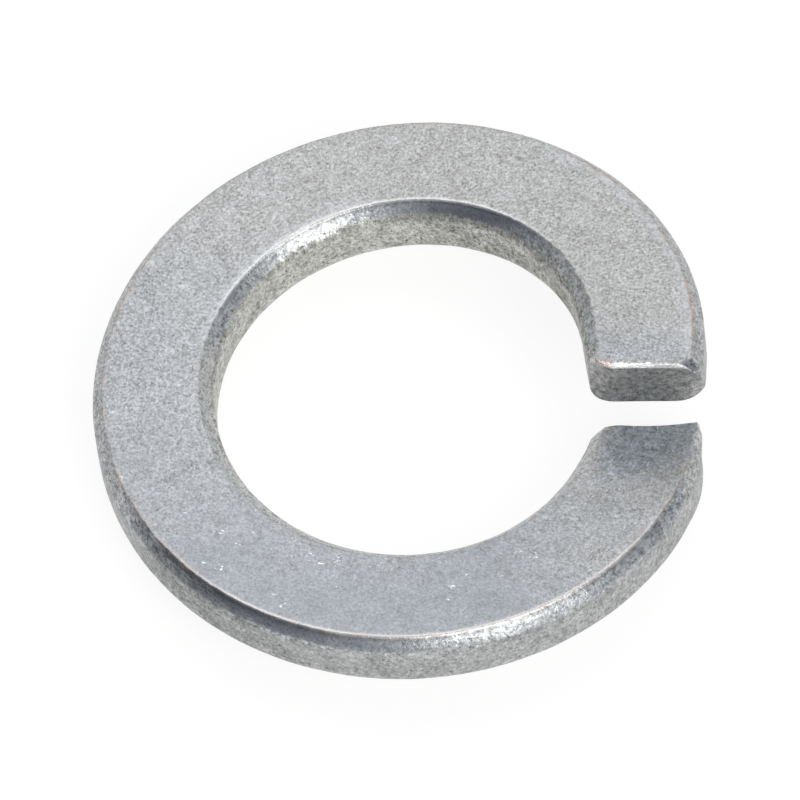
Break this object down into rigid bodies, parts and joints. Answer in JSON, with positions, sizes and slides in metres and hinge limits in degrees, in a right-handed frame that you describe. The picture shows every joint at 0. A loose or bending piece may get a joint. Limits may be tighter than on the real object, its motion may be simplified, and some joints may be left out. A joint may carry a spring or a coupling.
{
  "type": "spring lock washer",
  "caption": "Split spring lock washer: a nearly rectangular wire coiled into an open ring with offset sheared ends, zinc plated, for a 12 mm bolt.",
  "frame": {"origin": "on the axis of the bore, at the middle of the coil's rise", "axes": "+Z along the bore axis, towards the face with the higher wire end; the two ends meet on +X; seen from +Z the wire climbs clockwise"},
  "size_m": [0.0202, 0.0202, 0.0062],
  "materials": {
    "zinc_plate": "matt zinc plating with a fine grain"
  },
  "bodies": {
    "root": {"washer": "zinc_plate"}
  },
  "joints": []
}
